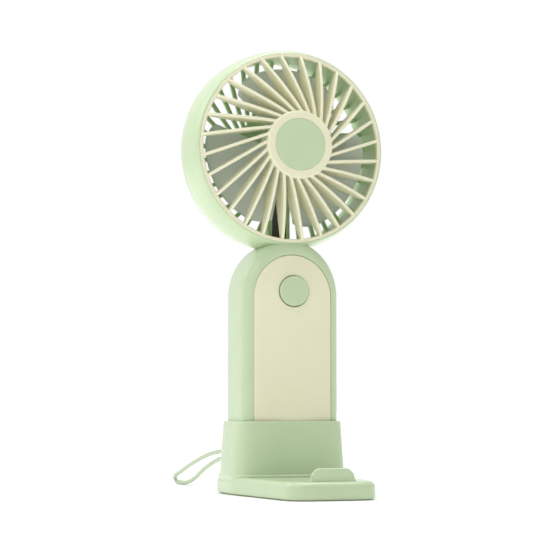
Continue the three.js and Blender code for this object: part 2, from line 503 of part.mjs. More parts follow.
// ---------------------------------------------------------------- assembly
const LOOK = {
  green: ['#c3dbb0', 0.42, 0.0], cream: ['#e6e4c6', 0.45, 0.0], disc: ['#bfd2ae', 0.5, 0.0],
  grey: ['#969e94', 0.7, 0.0], steel: ['#b9bcc0', 0.3, 1.0], dark: ['#3c3d3f', 0.6, 0.0], brass: ['#c9a24e', 0.35, 1.0],
  board: ['#2f6b4a', 0.5, 0.0], white: ['#eeeeea', 0.5, 0.0], cell: ['#4d8ac2', 0.4, 0.0], foam: ['#d9d6cc', 0.95, 0.0],
  red: ['#c23b33', 0.5, 0.0], black: ['#222326', 0.5, 0.0], copper: ['#a8683e', 0.4, 1.0], pad: ['#dfe4d6', 0.8, 0.0],
  cord: ['#c9dcb6', 0.6, 0.0],
};
const fan = new THREE.Group(), rotor = new THREE.Group(), base = new THREE.Group(), assembly = new THREE.Group();
function put(group, name, manifold, look) {
  const [color, roughness, metalness] = LOOK[look];
  const mesh = new THREE.Mesh(geometryOf(manifold), new THREE.MeshStandardMaterial({ color, roughness, metalness }));
  mesh.name = name;
  group.add(mesh);
}

put(base, 'base_stand', baseStand(), 'green');
put(base, 'base_cover', baseCover(), 'green');
screwSpots.forEach((p, i) => put(base, `base_screw_${i + 1}`, baseScrew(p), 'steel'));
put(base, 'grip_pad_rear', plateZ(roundedRect(-19, 19, -12, 13, 5), 0, 0.5), 'pad');
put(base, 'grip_pad_front', plateZ(roundedRect(-12, 12, -55, -38, 5), 0, 0.5), 'pad');

put(fan, 'body_shell', bodyShell(), 'green');
put(fan, 'rear_grille', rearGrille(), 'green');
put(fan, 'front_grille', frontGrille(), 'cream');
put(fan, 'grille_badge', grilleBadge(), 'disc');
put(fan, 'front_panel', frontPanel(), 'cream');
put(fan, 'lead_cover', leadCover(), 'dark');
put(fan, 'motor_can', motorCan(), 'steel');
put(fan, 'motor_end_cap', motorEndCap(), 'dark');
put(fan, 'motor_magnet_ring', motorMagnetRing(), 'dark');
put(fan, 'circuit_board', circuitBoard(), 'board');
screwBoss.forEach((p, i) => put(fan, `board_screw_${i + 1}`, boardScrew(p), 'steel'));
put(fan, 'tactile_switch', tactileSwitch(), 'black');
put(fan, 'charge_board', box(-9.6, 9.6, 3.2, 4.2, 7.6, 23.0), 'board');
put(fan, 'usb_port', usbPort(), 'steel');
put(fan, 'battery_cell', batteryCell(), 'cell');
put(fan, 'battery_foam_pad', plateY(roundedRect(-5, 5, 30, 66, 1.5), -8.4, -7.1, 0, 1, 3), 'foam');
put(fan, 'battery_tab_top', box(-3, 3, -0.6, 5.4, CELL_Z[1] + GAP, CELL_Z[1] + GAP + 0.4), 'steel');
put(fan, 'battery_tab_bottom', box(-3, 3, -0.6, 5.4, CELL_Z[0] - GAP - 0.4, CELL_Z[0] - GAP), 'steel');
put(fan, 'motor_lead_red', motorLead(-1.2), 'red');
put(fan, 'motor_lead_black', motorLead(1.2), 'black');
put(fan, 'battery_lead_red', lead([[2.4, 2.4, 92.6], [5.0, 0.5, 93.4], [8.0, -3.5, 92.2], [9.0, -6.5, 88.5], [9.0, -7.0, 84]]), 'red');
put(fan, 'battery_lead_black', lead([[5.0, 2.2, 24.6], [9.0, 0.2, 25.4], [12.4, -3.5, 32], [12.6, -6.2, 50], [12.0, -7.0, 68], [11.9, -7.0, 72.6]]), 'black');
put(fan, 'charge_lead_red', lead([[-4.0, 2.3, 19], [-7.0, 0.5, 21], [-11.6, -2.5, 28], [-12.6, -6.0, 46], [-12.0, -7.0, 66], [-11.9, -7.0, 72.6]]), 'red');
put(fan, 'lanyard_pin', rodX(0.8, -20.8, -13.2, 12.2, 17.4, 12), 'steel');
put(fan, 'lanyard', tube(LANYARD_ROUTE, CORD_R, 8, 90), 'cord');
put(fan, 'power_button', powerButton(), 'disc');
put(fan, 'switch_plunger', switchPlunger(), 'white');

put(rotor, 'impeller', impeller(), 'grey');
put(rotor, 'motor_shaft', motorShaft(), 'steel');
put(rotor, 'motor_armature', motorArmature(), 'copper');

fan.add(rotor);
assembly.add(base, fan);
export default assembly;
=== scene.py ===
import math

import bpy
import numpy as np
from mathutils import Matrix, Vector


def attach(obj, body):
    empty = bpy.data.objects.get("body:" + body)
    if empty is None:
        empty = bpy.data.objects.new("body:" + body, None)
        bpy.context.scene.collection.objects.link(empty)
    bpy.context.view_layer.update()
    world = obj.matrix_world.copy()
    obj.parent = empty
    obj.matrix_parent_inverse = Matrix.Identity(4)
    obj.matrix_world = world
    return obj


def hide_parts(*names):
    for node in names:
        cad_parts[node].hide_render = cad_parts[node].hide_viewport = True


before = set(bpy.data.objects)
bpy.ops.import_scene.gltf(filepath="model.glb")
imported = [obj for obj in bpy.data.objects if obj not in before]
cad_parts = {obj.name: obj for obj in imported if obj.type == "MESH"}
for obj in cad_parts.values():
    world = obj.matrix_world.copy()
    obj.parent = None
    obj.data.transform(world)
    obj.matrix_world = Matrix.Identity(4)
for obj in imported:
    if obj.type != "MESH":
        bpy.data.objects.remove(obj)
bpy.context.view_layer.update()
MM = 0.001

# ------------------------------------------------------------------ camera
AZ, PITCH, DIST, SIDE, EYE = math.radians(18.768), math.radians(3.916), 0.86162, -0.002774, 0.042708
look = Vector((math.sin(AZ) * math.cos(PITCH), math.cos(AZ) * math.cos(PITCH), math.sin(PITCH)))
right = Vector((math.cos(AZ), -math.sin(AZ), 0.0))
up = right.cross(look)
cam_data = bpy.data.cameras.new("camera")
cam_data.lens, cam_data.sensor_width = 120.14, 36.0
cam_data.clip_start, cam_data.clip_end = 0.02, 60.0
cam = bpy.data.objects.new("camera", cam_data)
bpy.context.scene.collection.objects.link(cam)
spot = Vector((-DIST * math.sin(AZ), -DIST * math.cos(AZ), EYE)) + right * SIDE
cam.matrix_world = Matrix((
    (right.x, up.x, -look.x, spot.x), (right.y, up.y, -look.y, spot.y), (right.z, up.z, -look.z, spot.z), (0, 0, 0, 1)))
bpy.context.scene.camera = cam

# ------------------------------------------------------------------ dimensions, millimetres
HEAD_Z = 160.2
RING_Y, RING_R, RING_IN, SKIRT_Y = -15.0, 44.25, 42.6, -13.0
HUB_Y, HUB_R, BADGE_R = -27.2, 15.76, 12.0
VANE_BACK = -12.9
VANES, VANE_IN, VANE_OUT, VANE_T = 28, (16.3, -17.6), (43.1, 6.9), 1.7
DUCT_R, BARS, BAR_T, BAR_OFFSET = 43.1, 36, 1.8, 10.2
BLADES, TIP_R, ROTOR_HUB_R, BLADE_FROM, BLADE_SPAN, BLADE_Y = 3, 38.3, 11.5, 39.7, 96.6, (0.6, -10.4)
HALF_W, FRONT_Y, BACK_Y, EDGE_R, ARCH_Z, ARCH_H, BOTTOM_Z, WALL = 23.4, -16.0, 14.0, 6.0, 91.3, 26.0, 4.6, 2.1
PANEL_W, PANEL_ARCH_Z, PANEL_ARCH_H, PANEL_BOTTOM, PANEL_CROWN = 18.75, 90.7, 19.5, 8.2, 2.2
BUTTON_Z, BUTTON_R, BUTTON_FACE = 93.4, 6.95, -19.2
BASE_Z0, PLATFORM_TOP, PLATFORM_W, PLATFORM_FRONT_W, PLATFORM_FRONT, PLATFORM_BACK = 0.4, 8.3, 28.0, 20.0, -72.5, 18.6
CUP_TOP, CUP_FLOOR, GAP = 33.7, 4.2, 0.3
LIP_W, LIP_TOP, LIP_Y = 10.6, 14.0, (-69.2, -66.8)
CORD_R = 1.05
LANYARD_ROUTE = [
    (-17.0, 13.4, 19.0), (-17.0, 16.5, 19.2), (-17.0, 22.0, 19.3), (-17.2, 31.0, 19.1), (-17.5, 40.0, 18.6),
    (-17.9, 50.0, 17.6), (-18.3, 60.0, 16.2), (-18.7, 70.0, 14.3), (-19.1, 80.0, 12.1), (-19.5, 91.0, 9.5),
    (-19.8, 101.0, 6.9), (-20.1, 108.0, 5.2), (-20.1, 111.2, 4.2), (-19.9, 112.4, 2.8), (-19.6, 111.2, 1.5),
    (-19.3, 108.0, 1.08), (-19.1, 103.0, 1.08), (-18.9, 96.0, 1.25), (-18.6, 88.0, 2.4), (-18.2, 79.0, 4.8),
    (-18.0, 71.0, 7.6), (-17.7, 63.5, 10.0), (-17.5, 56.0, 12.0), (-17.3, 48.5, 13.7), (-17.1, 41.0, 15.0),
    (-17.0, 31.0, 15.8), (-17.0, 22.0, 16.0), (-17.0, 16.5, 15.9), (-17.0, 13.4, 15.8),
]


# ------------------------------------------------------------------ curves and outlines
def spline(points, per=10, closed=False):
    """Centripetal Catmull-Rom through the points."""
    p = [np.array(q, float) for q in points]
    n = len(p)
    out = []
    for i in range(n if closed else n - 1):
        a = p[(i - 1) % n] if closed or i > 0 else 2 * p[0] - p[1]
        b, c = p[i], p[(i + 1) % n]
        d = p[(i + 2) % n] if closed or i + 2 < n else 2 * p[-1] - p[-2]
        t0 = 0.0
        t1 = t0 + max(np.linalg.norm(b - a), 1e-6) ** 0.5
        t2 = t1 + max(np.linalg.norm(c - b), 1e-6) ** 0.5
        t3 = t2 + max(np.linalg.norm(d - c), 1e-6) ** 0.5
        for k in range(per):
            t = t1 + (t2 - t1) * k / per
            a1 = (t1 - t) / (t1 - t0) * a + (t - t0) / (t1 - t0) * b
            a2 = (t2 - t) / (t2 - t1) * b + (t - t1) / (t2 - t1) * c
            a3 = (t3 - t) / (t3 - t2) * c + (t - t2) / (t3 - t2) * d
            b1 = (t2 - t) / (t2 - t0) * a1 + (t - t0) / (t2 - t0) * a2
            b2 = (t3 - t) / (t3 - t1) * a2 + (t - t1) / (t3 - t1) * a3
            out.append((t2 - t) / (t2 - t1) * b1 + (t - t1) / (t2 - t1) * b2)
    if not closed:
        out.append(p[-1])
    return np.array(out)


def fillet(points, radii, seg=5, closed=True):
    """A polygon with its corners rounded."""
    p = [np.array(q, float) for q in points]
    n = len(p)
    radii = [radii] * n if np.isscalar(radii) else list(radii)
    out = []
    for i in range(n):
        r = radii[i]
        if r <= 0 or (not closed and i in (0, n - 1)):
            out.append(p[i])
            continue
        u, v = p[i - 1] - p[i], p[(i + 1) % n] - p[i]
        lu, lv = np.linalg.norm(u), np.linalg.norm(v)
        u, v = u / lu, v / lv
        half = math.acos(max(-1, min(1, float(u @ v)))) / 2
        if half > math.pi / 2 - 0.01:
            out.append(p[i])
            continue
        t = min(r / math.tan(half), 0.49 * lu, 0.49 * lv)
        rr = t * math.tan(half)
        m = (u + v) / np.linalg.norm(u + v)
        c = p[i] + m * rr / math.sin(half)
        a, b = p[i] + u * t - c, p[i] + v * t - c
        w = math.acos(max(-1, min(1, float(a @ b) / rr / rr)))
        for k in range(seg + 1):
            s = k / seg
            q = (math.sin((1 - s) * w) * a + math.sin(s * w) * b) / math.sin(w)
            out.append(c + q)
    return np.array(out)


# ------------------------------------------------------------------ meshes
def mesh_object(name, verts, faces, weld=0.0):
    me = bpy.data.meshes.new(name)
    me.from_pydata([tuple(float(c) * MM for c in v) for v in verts], [], [tuple(int(i) for i in f) for f in faces])
    me.update()
    ob = bpy.data.objects.new(name, me)
    bpy.context.scene.collection.objects.link(ob)
    import bmesh
    bm = bmesh.new()
    bm.from_mesh(me)
    if weld:
        bmesh.ops.remove_doubles(bm, verts=bm.verts, dist=weld * MM)
        bmesh.ops.dissolve_degenerate(bm, edges=bm.edges, dist=1e-8)
    bmesh.ops.recalc_face_normals(bm, faces=bm.faces)
    if bm.calc_volume(signed=True) < 0:
        bmesh.ops.reverse_faces(bm, faces=bm.faces)
    bm.to_mesh(me)
    bm.free()
    me.update()
    return ob


def bake(ob):
    """Applies the object's modifiers to its mesh."""
    bpy.context.view_layer.update()
    dg = bpy.context.evaluated_depsgraph_get()
    me = bpy.data.meshes.new_from_object(ob.evaluated_get(dg), preserve_all_data_layers=True, depsgraph=dg)
    old = ob.data
    ob.modifiers.clear()
    ob.data = me
    me.name = ob.name
    if old.users == 0:
        bpy.data.meshes.remove(old)
    return ob


def boolean(a, b, op="UNION", keep=False, solver="MANIFOLD"):
    m = a.modifiers.new("b", "BOOLEAN")
    m.operation, m.solver, m.object = op, solver, b
    before = len(a.data.polygons)
    bake(a)
    if len(a.data.polygons) == 0:
        raise RuntimeError(f"boolean {op} of {a.name} and {b.name} left nothing of {before} faces")
    if not keep:
        me = b.data
        bpy.data.objects.remove(b)
        if me.users == 0:
            bpy.data.meshes.remove(me)
    return a


def loft(name, rings, caps=True, closed_v=False):
    """A skin through closed loops of equal length."""
    rings = [np.asarray(r, float) for r in rings]
    n, m = len(rings[0]), len(rings)
    verts = list(np.concatenate(rings))
    faces = []
    for k in range(m if closed_v else m - 1):
        k2 = (k + 1) % m
        for i in range(n):
            j = (i + 1) % n
            faces.append((k * n + i, k * n + j, k2 * n + j, k2 * n + i))
    if caps and not closed_v:
        for k, flip in ((0, True), (m - 1, False)):
            c = len(verts)
            verts.append(rings[k].mean(0))
            for i in range(n):
                a, b = k * n + i, k * n + (i + 1) % n
                faces.append((c, b, a) if flip else (c, a, b))
    return mesh_object(name, verts, faces)


def turned(name, profile, n=192, x=0.0, z=HEAD_Z, closed=False):
    """A body turned about a line along Y; profile points are (radius, y)."""
    prof = [tuple(p) for p in profile]
    verts, faces, rows = [], [], []
    ang = [2 * math.pi * i / n for i in range(n)]
    for r, y in prof:
        if r < 1e-6:
            rows.append([len(verts)])
            verts.append((x, y, z))
        else:
            rows.append(list(range(len(verts), len(verts) + n)))
            verts += [(x + r * math.cos(t), y, z + r * math.sin(t)) for t in ang]
    last = len(rows) if closed else len(rows) - 1
    for k in range(last):
        a, b = rows[k], rows[(k + 1) % len(rows)]
        for i in range(n):
            j = (i + 1) % n
            if len(a) == 1 and len(b) == 1:
                continue
            if len(a) == 1:
                faces.append((a[0], b[j], b[i]))
            elif len(b) == 1:
                faces.append((a[i], a[j], b[0]))
            else:
                faces.append((a[i], a[j], b[j], b[i]))
    return mesh_object(name, verts, faces)


def block(name, x0, x1, y0, y1, z0, z1, r=0.0, axis="y", seg=4):
    """A plate with rounded corners in plan, used as a cutter or a rib."""
    if axis == "y":
        q = fillet([(x0, z0), (x1, z0), (x1, z1), (x0, z1)], r, seg)
        return loft(name, [[(a, y0, b) for a, b in q], [(a, y1, b) for a, b in q]])
    if axis == "z":
        q = fillet([(x0, y0), (x1, y0), (x1, y1), (x0, y1)], r, seg)
        return loft(name, [[(a, b, z0) for a, b in q], [(a, b, z1) for a, b in q]])
    q = fillet([(y0, z0), (y1, z0), (y1, z1), (y0, z1)], r, seg)
    return loft(name, [[(x0, a, b) for a, b in q], [(x1, a, b) for a, b in q]])


def join(name, obs):
    verts, faces = [], []
    for o in obs:
        k = len(verts)
        verts += [tuple(c / MM for c in v.co) for v in o.data.vertices]
        faces += [tuple(i + k for i in p.vertices) for p in o.data.polygons]
        me = o.data
        bpy.data.objects.remove(o)
        bpy.data.meshes.remove(me)
    return mesh_object(name, verts, faces)


def finish_piece(ob, body, material, replaces=(), angle=28.0, weighted=True):
    me = ob.data
    me.materials.clear()
    me.materials.append(material)
    for p in me.polygons:
        p.use_smooth = True
    me.set_sharp_from_angle(angle=math.radians(angle))
    if weighted:
        w = ob.modifiers.new("weighted", "WEIGHTED_NORMAL")
        w.keep_sharp = True
        w.weight = 80
    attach(ob, body)
    if replaces:
        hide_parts(*replaces)
    return ob


# ------------------------------------------------------------------ materials
def nodes_of(name):
    m = bpy.data.materials.new(name)
    m.use_nodes = True
    nt = m.node_tree
    nt.nodes.clear()
    out = nt.nodes.new("ShaderNodeOutputMaterial")
    bsdf = nt.nodes.new("ShaderNodeBsdfPrincipled")
    nt.links.new(bsdf.outputs["BSDF"], out.inputs["Surface"])
    return m, nt, bsdf


def srgb(r, g, b):
    return tuple(((c / 255) / 12.92 if c / 255 <= 0.04045 else (((c / 255) + 0.055) / 1.055) ** 2.4) for c in (r, g, b))


def moulded(name, color, rough=0.42, spread=0.03, grain=0.00022, bump=0.02, coat=0.0, metallic=0.0, spec=0.5,
            subsurface=0.0, mottle=0.012, rough_spread=0.06, stretch=(1, 1, 1)):
    """Moulded plastic, rubber or metal: colour that drifts a little, fine surface grain, uneven gloss."""
    m, nt, b = nodes_of(name)
    coords = nt.nodes.new("ShaderNodeTexCoord")
    place = nt.nodes.new("ShaderNodeMapping")
    place.inputs["Scale"].default_value = stretch
    nt.links.new(coords.outputs["Object"], place.inputs["Vector"])
    drift = nt.nodes.new("ShaderNodeTexNoise")
    drift.inputs["Scale"].default_value = 1.0 / mottle
    drift.inputs["Detail"].default_value = 3.0
    nt.links.new(place.outputs["Vector"], drift.inputs["Vector"])
    ramp = nt.nodes.new("ShaderNodeValToRGB")
    ramp.color_ramp.elements[0].position, ramp.color_ramp.elements[1].position = 0.3, 0.7
    lo = [max(0.0, c * (1 - spread)) for c in color]
    hi = [min(1.0, c * (1 + spread)) for c in color]
    ramp.color_ramp.elements[0].color = (*lo, 1)
    ramp.color_ramp.elements[1].color = (*hi, 1)
    nt.links.new(drift.outputs["Fac"], ramp.inputs["Fac"])
    nt.links.new(ramp.outputs["Color"], b.inputs["Base Color"])
    fine = nt.nodes.new("ShaderNodeTexNoise")
    fine.inputs["Scale"].default_value = 1.0 / grain
    fine.inputs["Detail"].default_value = 2.0
    nt.links.new(place.outputs["Vector"], fine.inputs["Vector"])
    gloss = nt.nodes.new("ShaderNodeMapRange")
    gloss.inputs["To Min"].default_value = max(0.02, rough - rough_spread)
    gloss.inputs["To Max"].default_value = min(1.0, rough + rough_spread)
    nt.links.new(drift.outputs["Fac"], gloss.inputs["Value"])
    nt.links.new(gloss.outputs["Result"], b.inputs["Roughness"])
    bmp = nt.nodes.new("ShaderNodeBump")
    bmp.inputs["Strength"].default_value = bump
    bmp.inputs["Distance"].default_value = grain * 0.5
    nt.links.new(fine.outputs["Fac"], bmp.inputs["Height"])
    nt.links.new(bmp.outputs["Normal"], b.inputs["Normal"])
    b.inputs["Metallic"].default_value = metallic
    b.inputs["Specular IOR Level"].default_value = spec
    if coat:
        b.inputs["Coat Weight"].default_value = coat
        b.inputs["Coat Roughness"].default_value = 0.07
    if subsurface:
        b.inputs["Subsurface Weight"].default_value = subsurface
        b.inputs["Subsurface Radius"].default_value = (0.0016, 0.0016, 0.0010)
        b.inputs["Subsurface Scale"].default_value = 1.0
    return m


GREEN = moulded("green_plastic", (0.573, 0.705, 0.455), rough_spread=0.03, rough=0.22, spread=0.012, bump=0.06, spec=0.5)
GREEN_BASE = moulded("green_plastic_base", (0.573, 0.705, 0.455), rough_spread=0.03, rough=0.20, spread=0.012, bump=0.04, coat=0.25)
CREAM = moulded("cream_plastic", (0.840, 0.823, 0.600), rough=0.40, spread=0.010, bump=0.06, spec=0.45)
SAGE = moulded("sage_plastic", (0.557, 0.677, 0.443), rough=0.45, spread=0.012, bump=0.05, spec=0.4)
# painted shade: a darker copy of the housing green, standing in for the shade inside the drum on the rear grille and
# duct
GREEN_SHADED = moulded("green_plastic_painted_shade", (0.46, 0.62, 0.31), rough=0.40, spread=0.02, bump=0.06, spec=0.5)
GREY = moulded("grey_plastic", (0.70, 0.76, 0.72), rough=0.60, spread=0.02, bump=0.10, spec=0.35)
DARK = moulded("dark_plastic", (0.060, 0.050, 0.042), rough=0.55, spread=0.05, bump=0.10)
WHITE = moulded("white_plastic", (0.82, 0.82, 0.80), rough=0.4, spread=0.01)
RUBBER = moulded("grip_rubber", (0.60, 0.66, 0.52), rough=0.85, spread=0.03, grain=0.0004, bump=0.25)
FOAM = moulded("foam", (0.66, 0.63, 0.56), rough=0.95, spread=0.08, grain=0.0006, bump=0.8, mottle=0.002)
STRAP = moulded("strap", (0.520, 0.620, 0.440), rough=0.42, spread=0.03, grain=0.0003, bump=0.10)
STEEL = moulded("steel", (0.60, 0.61, 0.62), rough=0.30, spread=0.04, metallic=1.0, grain=0.0003, bump=0.05, stretch=(1, 12, 1))
COPPER = moulded("copper", (0.62, 0.28, 0.13), rough=0.35, spread=0.08, metallic=1.0, grain=0.0004, bump=0.35)
BOARD = moulded("board", (0.03, 0.16, 0.07), rough=0.35, spread=0.12, mottle=0.003, bump=0.10)
CELL = moulded("cell_wrap", (0.08, 0.27, 0.58), rough=0.28, spread=0.03, bump=0.05)
RED = moulded("red_insulation", (0.52, 0.03, 0.02), rough=0.38, spread=0.04)
BLACK = moulded("black_insulation", (0.02, 0.02, 0.021), rough=0.38, spread=0.04)


# ------------------------------------------------------------------ the wrist strap
def strap():
    path = spline(LANYARD_ROUTE, per=9)
    cu = bpy.data.curves.new("wrist_strap", "CURVE")
    cu.dimensions = "3D"
    cu.bevel_depth = CORD_R * MM
    cu.bevel_resolution = 6
    cu.use_fill_caps = True
    cu.twist_mode = "MINIMUM"
    sp = cu.splines.new("POLY")
    sp.points.add(len(path) - 1)
    for q, p in zip(sp.points, path):
        q.co = (p[0] * MM, p[1] * MM, p[2] * MM, 1)
    sp.use_smooth = True
    cu.materials.append(STRAP)
    ob = bpy.data.objects.new("wrist_strap", cu)
    bpy.context.scene.collection.objects.link(ob)
    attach(ob, "fan_body")
    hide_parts("lanyard")


strap()


# ------------------------------------------------------------------ shell: drum and handle
def arch_outline(w, bottom, arch_z, arch_h, corner, o, na=72, nc=10):
    """Points of an arched outline moved out by o, from the middle of the foot round by the right-hand side."""
    pts = []
    for i in range(4):
        pts.append(((w - corner) * i / 4, bottom, 0, -1))
    for i in range(nc + 1):
        t = -math.pi / 2 + math.pi / 2 * i / nc
        pts.append((w - corner + corner * math.cos(t), bottom + corner + corner * math.sin(t), math.cos(t), math.sin(t)))
    z0 = bottom + corner
    for i in range(1, 8):
        pts.append((w, z0 + (arch_z - z0) * i / 8, 1, 0))
    for i in range(na + 1):
        t = math.pi * i / na
        nx, nz = math.cos(t) / w, math.sin(t) / arch_h
        k = math.hypot(nx, nz)
        pts.append((w * math.cos(t), arch_z + arch_h * math.sin(t), nx / k, nz / k))
    for i in range(1, 8):
        pts.append((-w, arch_z - (arch_z - z0) * i / 8, -1, 0))
    for i in range(nc + 1):
        t = math.pi + math.pi / 2 * i / nc
        pts.append((-w + corner + corner * math.cos(t), bottom + corner + corner * math.sin(t), math.cos(t), math.sin(t)))
    for i in range(4, 0, -1):
        pts.append((-(w - corner) * i / 4 * 0.98, bottom, 0, -1))
    return [(x + nx * o, z + nz * o) for x, z, nx, nz in pts]


def arch_plate(name, w, bottom, arch_z, arch_h, corner, y0, y1, r=0.0, seg=12):
    rings = []
    if r > 0:
        for k in range(seg + 1):
            f = math.pi / 2 * k / seg
            rings.append((r * math.sin(f), y0 + r * (1 - math.cos(f))))
        for k in range(seg + 1):
            f = math.pi / 2 * (1 - k / seg)
            rings.append((r * math.sin(f), y1 - r * (1 - math.cos(f))))
    else:
        rings = [(0, y0), (0, y1)]
    return loft(name, [[(x, y, z) for x, z in arch_outline(w, bottom, arch_z, arch_h, corner, o)] for o, y in rings])


DRUM_OUT = [(44.4, -14.6), (45.2, -13.6), (46.1, -10.4), (46.9, -4.4), (47.25, 3.6), (46.8, 7.8), (46.1, 10.6), (45.2, 12.4), (44.5, 13.0)]


def body_shell():
    skin = spline(DRUM_OUT, per=7)
    drum = turned("drum", [(0, -14.6)] + [tuple(p) for p in skin] + [(0, 13.0)], n=288)
    s = arch_plate("fan_shell", HALF_W - EDGE_R, BOTTOM_Z + EDGE_R, ARCH_Z, ARCH_H - EDGE_R, 3.5, FRONT_Y, BACK_Y, EDGE_R)
    hollow = arch_plate("hollow", HALF_W - WALL - 4, BOTTOM_Z + WALL + 4, ARCH_Z, ARCH_H - WALL - 4, 1.5,
                        FRONT_Y + WALL, BACK_Y - WALL, 4, seg=4)
    mouth = arch_plate("mouth", PANEL_W + 0.11, PANEL_BOTTOM - 0.2, PANEL_ARCH_Z, PANEL_ARCH_H + 0.11, 0.01, FRONT_Y - 4, FRONT_Y + 6)
    boolean(hollow, mouth)
    boolean(s, hollow, "DIFFERENCE")
    boolean(s, drum)
    bore = turned("bore", fillet([(0, -20), (44.37, -20), (44.37, 10.1), (43.4, 10.1), (43.4, 12.5), (44.0, 13.05), (44.0, 20), (0, 20)],
                                 [0, 0, 0.2, 0.3, 0.3, 0, 0, 0], 4, closed=False), n=288)
    boolean(s, bore, "DIFFERENCE")
    boolean(s, block("lead_passage", -3.4, 3.4, 1.0, 8.0, 108, 117), "DIFFERENCE")
    boolean(s, block("eye_block", -21.4, -12.4, 9.0, 12.6, 12.4, 22.4))
    boolean(s, block("eye_pocket", -20.0, -14.0, 10.4, 20, 13.8, 21.0, r=1.4, seg=6), "DIFFERENCE")
    boolean(s, block("pin_bore", -21.0, -12.9, 11.1, 13.3, 16.3, 18.5, r=1.05, axis="x", seg=6), "DIFFERENCE")
    boolean(s, block("plug_opening", -5.0, 5.0, -1.0, 3.4, 0, 9, r=2.0, axis="z", seg=8), "DIFFERENCE")
    finish_piece(s, "fan_body", GREEN, ["body_shell"])


body_shell()


# ------------------------------------------------------------------ front panel and button
def front_panel():
    w, za, h = PANEL_W, PANEL_ARCH_Z, PANEL_ARCH_H
    outline = np.array(arch_outline(w, PANEL_BOTTOM, za, h, 0.6, 0.0, na=96))
    spine = np.stack([np.zeros(len(outline)), np.clip(outline[:, 1], PANEL_BOTTOM + w, za)], 1)

    def crown(x, z):
        k = np.clip((z - za) / h, 0, None)
        return FRONT_Y - PANEL_CROWN * np.clip(1 - (x / w) ** 2 - k ** 2, 0, None)

    r = 0.55
    rows = []
    # front: rounded edge, then in to the spine
    for k in range(7):
        f = math.pi / 2 * k / 6
        s = 1 - r * (1 - math.cos(f)) / w
        p = spine + (outline - spine) * s
        rows.append(np.stack([p[:, 0], crown(p[:, 0], p[:, 1]) + r * (1 - math.sin(f)), p[:, 1]], 1))
    for s in (0.93, 0.88, 0.80, 0.70, 0.58, 0.45, 0.32, 0.2, 0.1, 0.001):
        p = spine + (outline - spine) * s
        rows.append(np.stack([p[:, 0], crown(p[:, 0], p[:, 1]), p[:, 1]], 1))
    back = []
    for s, y in ((1.0, -13.2), (1 - 1.7 / w, -13.2)):
        p = spine + (outline - spine) * s
        back.append(np.stack([p[:, 0], np.full(len(p), y), p[:, 1]], 1))
    for s in (1 - 1.75 / w, 0.7, 0.45, 0.2, 0.001):
        p = spine + (outline - spine) * s
        back.append(np.stack([p[:, 0], crown(p[:, 0], p[:, 1]) + 1.8, p[:, 1]], 1))
    rings = rows[::-1] + back
    n = len(outline)
    verts = np.concatenate(rings)
    faces = []
    for k in range(len(rings) - 1):
        for i in range(n):
            j = (i + 1) % n
            faces.append((k * n + i, k * n + j, (k + 1) * n + j, (k + 1) * n + i))
    # the innermost loops are each closed by one face
    m = n // 2
    for base in (0, (len(rings) - 1) * n):
        faces.append(tuple(base + i for i in range(n)))
    s = mesh_object("front_panel_cover", verts, faces)
    hole = turned("hole", [(0, -24), (BUTTON_R + 0.9, -24), (BUTTON_R + 0.9, -18.35), (BUTTON_R + 0.55, -17.95), (BUTTON_R + 0.32, -17.55),
                           (BUTTON_R + 0.24, -17.0), (BUTTON_R + 0.22, -10), (0, -10)], n=128, z=BUTTON_Z)
    boolean(s, hole, "DIFFERENCE", solver="EXACT")
    finish_piece(s, "fan_body", CREAM, ["front_panel"], angle=35)


def power_button():
    prof = [(0, BUTTON_FACE - 0.05), (3.0, BUTTON_FACE - 0.03), (5.4, BUTTON_FACE)]
    prof += [tuple(p) for p in fillet([(5.4, BUTTON_FACE), (BUTTON_R, BUTTON_FACE + 0.03), (BUTTON_R, -15.3)], [0, 0.55, 0], 8, closed=False)[1:]]
    prof += [(8.2, -15.3), (8.2, -14.5), (0, -14.5)]
    s = turned("button_cap", prof, n=128, z=BUTTON_Z)
    finish_piece(s, "button", SAGE, ["power_button"])


front_panel()
power_button()


# ------------------------------------------------------------------ front grille
def dome_y(r):
    return -15.4 - 11.2 * (1 - min(1.0, max(0.0, (r - 15) / 28)) ** 1.5)


def polar(r, deg):
    return r * math.cos(math.radians(deg)), r * math.sin(math.radians(deg))


def vane(turn):
    x0, z0 = polar(VANE_IN[0] - 1.2, VANE_IN[1] + turn)
    x1, z1 = polar(VANE_OUT[0], VANE_OUT[1] + turn)
    length = math.hypot(x1 - x0, z1 - z0)
    nx, nz = -(z1 - z0) / length, (x1 - x0) / length
    rings = []
    steps = [0, 0.025, 0.05, 0.1, 0.17, 0.25, 0.34, 0.43, 0.52, 0.61, 0.7, 0.78, 0.85, 0.91, 0.955, 0.985, 1.0]
    for s in steps:
        x, z = x0 + (x1 - x0) * s, z0 + (z1 - z0) * s
        yf = dome_y(math.hypot(x, z))
        yb = VANE_BACK - 10.4 * max(0.0, 1 - s / 0.5) ** 1.6
        h = VANE_T / 2
        pinch = 1.0 if s < 0.98 else (0.93 if s < 1 else 0.72)
        y0 = yf if s < 1 else yf + 0.18
        y1 = yb
        q = fillet([(-h * 0.78 * pinch, y0), (h * 0.78 * pinch, y0), (h * pinch, y1), (-h * pinch, y1)], [0.34, 0.34, 0.3, 0.3], 4)
        rings.append([(x + a * nx, b, HEAD_Z + z + a * nz) for a, b in q])
    return loft("vane", rings)


